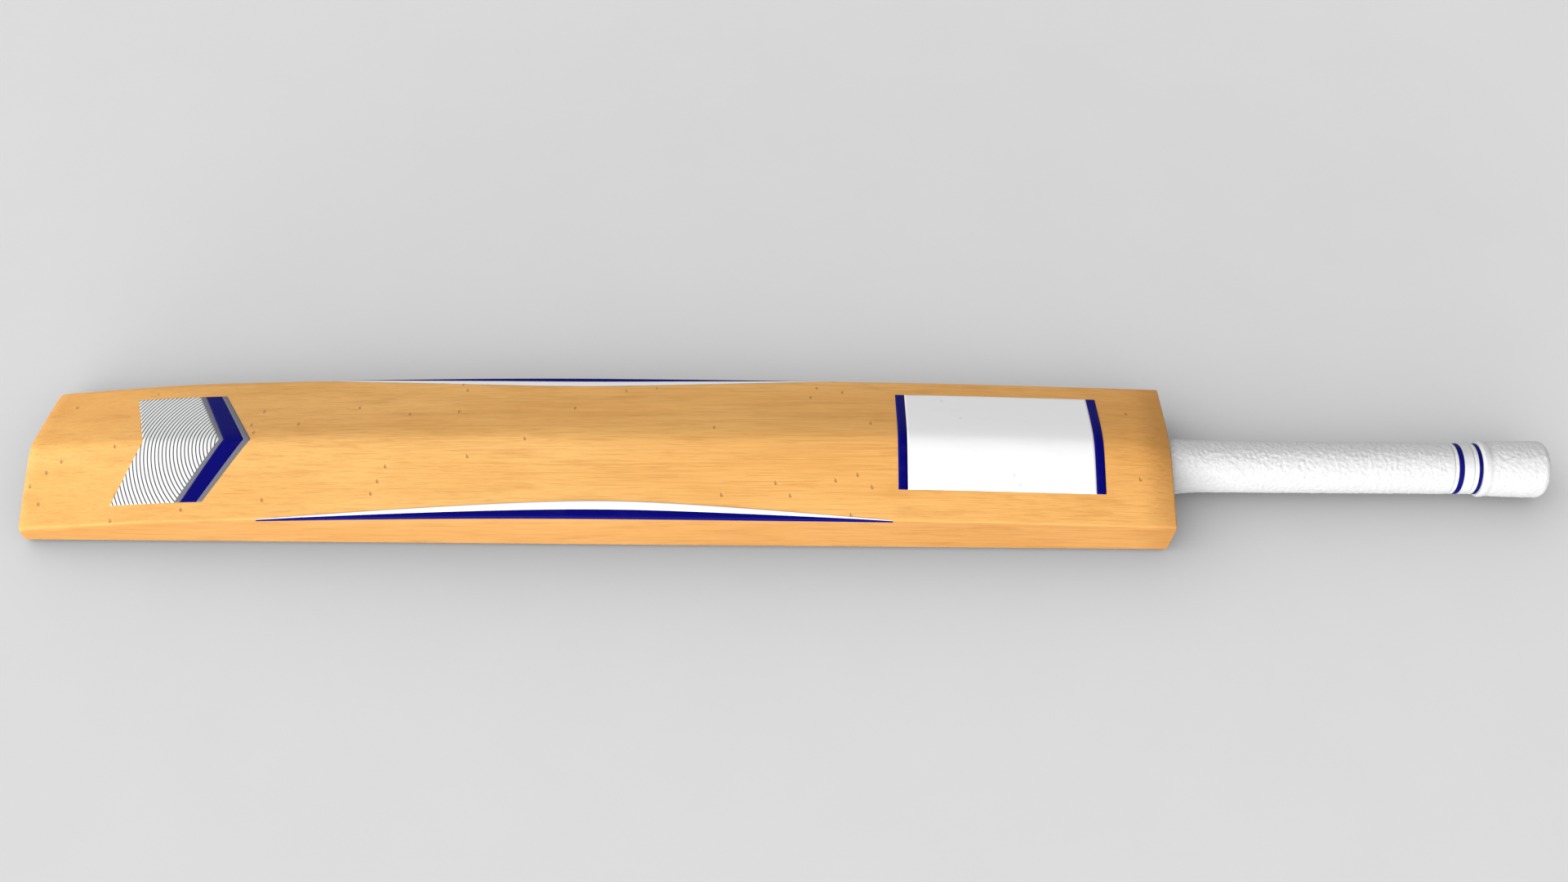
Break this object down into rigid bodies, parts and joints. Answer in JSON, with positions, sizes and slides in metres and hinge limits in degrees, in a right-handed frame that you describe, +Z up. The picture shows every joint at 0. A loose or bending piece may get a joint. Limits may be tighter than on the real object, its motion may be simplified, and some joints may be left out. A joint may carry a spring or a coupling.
{
  "type": "cricket bat",
  "caption": "Full-size cricket bat: ridged willow blade with a spliced cane and rubber handle, white rubber sleeve, banded top, end cap and plain printed labels.",
  "frame": {"origin": "on the floor plane, below the middle of the bat's bounding box", "axes": "+X along the bat from toe to handle cap, +Y across the blade, +Z up out of the spine; the hitting face rests on the floor"},
  "size_m": [0.965, 0.108, 0.0501],
  "materials": {
    "willow": "oiled, fine straight grain",
    "cane": "bare laminated cane",
    "spring_rubber": "plain dark rubber",
    "twine": "waxed twine",
    "grip_rubber": "white, fine pebbled texture",
    "navy_rubber": "navy, satin",
    "cap_rubber": "white, fine pebbled texture with a smooth lip",
    "label_white": "satin printed film",
    "label_navy": "satin printed film",
    "label_grey": "satin printed film"
  },
  "bodies": {
    "root": {"blade": "willow", "cane_strip_1_top": "cane", "cane_strip_1_middle": "cane", "cane_strip_1_bottom": "cane", "cane_strip_2_top": "cane", "cane_strip_2_middle": "cane", "cane_strip_2_bottom": "cane", "cane_strip_3_top": "cane", "cane_strip_3_middle": "cane", "cane_strip_3_bottom": "cane", "cane_strip_4_top": "cane", "cane_strip_4_middle": "cane", "cane_strip_4_bottom": "cane", "rubber_spring_1": "spring_rubber", "rubber_spring_2": "spring_rubber", "rubber_spring_3": "spring_rubber", "twine_binding": "twine", "grip_sleeve": "grip_rubber", "grip_band_lower_navy": "navy_rubber", "grip_band_middle_white": "grip_rubber", "grip_band_upper_navy": "navy_rubber", "handle_end_cap": "cap_rubber", "shoulder_label_toe_side_navy_band": "label_navy", "shoulder_label_white_panel": "label_white", "shoulder_label_handle_side_navy_band": "label_navy", "toe_label_white_field": "label_white", "toe_label_inner_grey_trim": "label_grey", "toe_label_navy_band": "label_navy", "toe_label_outer_grey_trim": "label_grey", "edge_flash_near_navy": "label_navy", "edge_flash_near_white": "label_white", "edge_flash_far_navy": "label_navy", "edge_flash_far_white": "label_white"}
  },
  "joints": []
}
